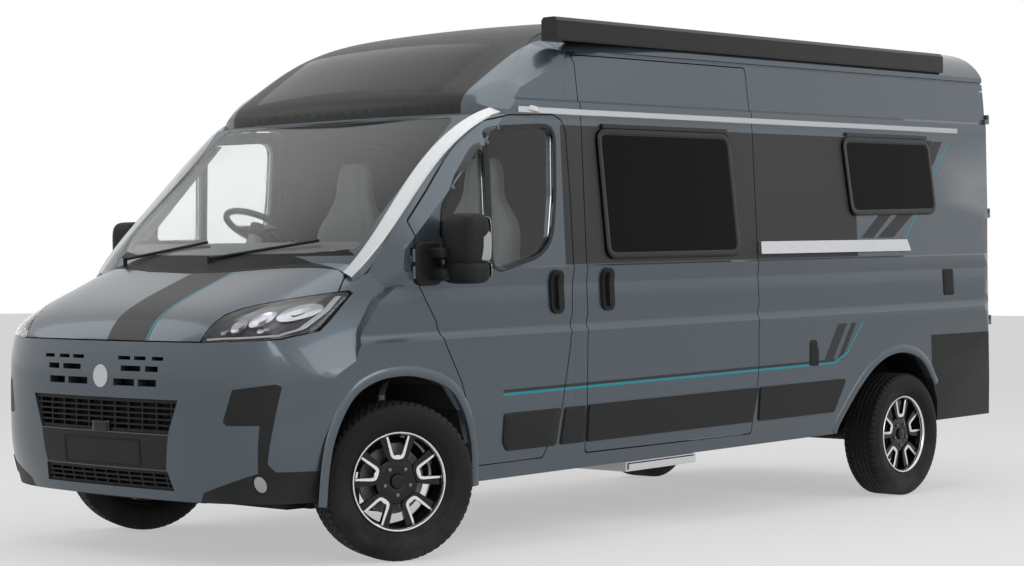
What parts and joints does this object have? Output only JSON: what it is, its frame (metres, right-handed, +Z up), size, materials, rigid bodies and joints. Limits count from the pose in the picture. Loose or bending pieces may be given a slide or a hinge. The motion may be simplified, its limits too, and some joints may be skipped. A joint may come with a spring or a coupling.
{
  "type": "camper_van",
  "caption": "High-roof panel van converted as a camper, with swing cab and tail doors, side awning, sliding step and steered front wheels.",
  "frame": {"origin": "on the ground, at the middle of the length and of the width", "axes": "+X towards the vehicle's left, -Y forwards, +Z up"},
  "size_m": [2.5, 5.9787, 2.6378],
  "materials": {
    "alloy": "diamond cut",
    "aluminium": "anodised",
    "black_plastic": "grained black",
    "body_paint": "metallic grey-blue lacquer",
    "cast": "cast iron",
    "chassis": "black underbody",
    "furniture": "light laminate",
    "glass_clear": "clear",
    "glass_dark": "dark tinted acrylic",
    "gloss_black": "gloss black",
    "lamp_clear": "clear lamp",
    "lamp_red": "red lamp",
    "seat_cloth": "grey cloth",
    "trim_grey": "grey cab trim",
    "tyre": "rubber"
  },
  "bodies": {
    "van_body": {"awning": "gloss_black", "bumper_trim": "black_plastic", "cab_frame": "body_paint", "cab_seats": "seat_cloth", "cowl": "black_plastic", "dashboard": "trim_grey", "engine_block": "cast", "exhaust": "chassis", "floor_pan": "chassis", "front_bumper": "body_paint", "front_glass": "glass_clear", "front_grille": "black_plastic", "front_subframe": "chassis", "front_wings": "body_paint", "fuel_tank": "black_plastic", "furniture": "furniture", "headlamps": "lamp_clear", "rear_axle_beam": "chassis", "rear_bumper": "black_plastic", "rear_lamps": "lamp_red", "roof": "body_paint", "roof_cap": "gloss_black", "rub_strips": "black_plastic", "seat_plinths": "trim_grey", "side_handle": "black_plastic", "side_panel_left": "body_paint", "side_panel_right": "body_paint", "side_windows": "glass_dark", "slide_rail": "aluminium", "sliding_door": "body_paint", "step_housing": "chassis", "wheel_houses": "chassis", "wipers": "black_plastic"},
    "bonnet": {"bonnet": "body_paint"},
    "front_door_left": {"front_door_left": "body_paint", "door_glass_left": "glass_clear", "mirror_left": "black_plastic", "door_handle_left": "black_plastic"},
    "front_door_right": {"front_door_right": "body_paint", "door_glass_right": "glass_clear", "mirror_right": "black_plastic", "door_handle_right": "black_plastic"},
    "rear_door_left": {"rear_door_left": "body_paint", "rear_glass_left": "glass_dark"},
    "rear_door_right": {"rear_door_right": "body_paint", "rear_glass_right": "glass_dark"},
    "steering_wheel": {"steering_wheel": "trim_grey"},
    "step_tread": {"step_tread": "aluminium"},
    "knuckle_left": {"knuckle_left": "cast"},
    "knuckle_right": {"knuckle_right": "cast"},
    "wheel_front_left": {"tyre_front_left": "tyre", "rim_front_left": "alloy"},
    "wheel_front_right": {"tyre_front_right": "tyre", "rim_front_right": "alloy"},
    "wheel_rear_left": {"tyre_rear_left": "tyre", "rim_rear_left": "alloy"},
    "wheel_rear_right": {"tyre_rear_right": "tyre", "rim_rear_right": "alloy"}
  },
  "joints": [
    {"name": "bonnet_hinge", "type": "hinge", "parent": "van_body", "child": "bonnet", "pos_m": [0, -2.30565, 1.29418], "axis": [-1, 0, 0], "range_deg": [0, 55]},
    {"name": "front_door_left_hinge", "type": "hinge", "parent": "van_body", "child": "front_door_left", "pos_m": [1.022, -2.05815, 0.89999], "axis": [0, 0.0239, -0.9997], "range_deg": [0, 65]},
    {"name": "front_door_right_hinge", "type": "hinge", "parent": "van_body", "child": "front_door_right", "pos_m": [-1.022, -2.05815, 0.89999], "axis": [0, -0.0239, 0.9997], "range_deg": [0, 65]},
    {"name": "rear_door_left_hinge", "type": "hinge", "parent": "van_body", "child": "rear_door_left", "pos_m": [0.978, 2.94385, 1.41973], "axis": [0, 0.0239, -0.9997], "range_deg": [0, 170]},
    {"name": "rear_door_right_hinge", "type": "hinge", "parent": "van_body", "child": "rear_door_right", "pos_m": [-0.978, 2.94385, 1.41973], "axis": [0, -0.0239, 0.9997], "range_deg": [0, 170]},
    {"name": "step_slide", "type": "slide", "parent": "van_body", "child": "step_tread", "axis": [1, 0, 0], "range_m": [0, 0.16]},
    {"name": "steer_left", "type": "hinge", "parent": "van_body", "child": "knuckle_left", "pos_m": [0.84, -2.051, 0.35], "axis": [0, 0, 1], "range_deg": [-9, 57]},
    {"name": "steer_right", "type": "hinge", "parent": "van_body", "child": "knuckle_right", "pos_m": [-0.84, -2.051, 0.35], "axis": [0, 0, 1], "range_deg": [-9, 57]},
    {"name": "steering_wheel_turn", "type": "hinge", "parent": "van_body", "child": "steering_wheel", "pos_m": [-0.43, -1.6669, 1.47951], "axis": [0, 0.4792, 0.8777], "range_deg": [-135, 855]},
    {"name": "roll_front_left", "type": "hinge", "parent": "knuckle_left", "child": "wheel_front_left", "pos_m": [0.89938, -2.07744, 0.35], "axis": [0.9135, -0.4067, 0], "continuous": true},
    {"name": "roll_front_right", "type": "hinge", "parent": "knuckle_right", "child": "wheel_front_right", "pos_m": [-0.89938, -2.02456, 0.35], "axis": [0.9135, -0.4067, 0], "continuous": true},
    {"name": "roll_rear_left", "type": "hinge", "parent": "van_body", "child": "wheel_rear_left", "pos_m": [0.895, 1.984, 0.35], "axis": [1, 0, 0], "continuous": true},
    {"name": "roll_rear_right", "type": "hinge", "parent": "van_body", "child": "wheel_rear_right", "pos_m": [-0.895, 1.984, 0.35], "axis": [1, 0, 0], "continuous": true}
  ],
  "couplings": [
    {"joint": "steer_right", "follows": "steer_left", "ratio": 1},
    {"joint": "steering_wheel_turn", "follows": "steer_left", "ratio": 15}
  ]
}
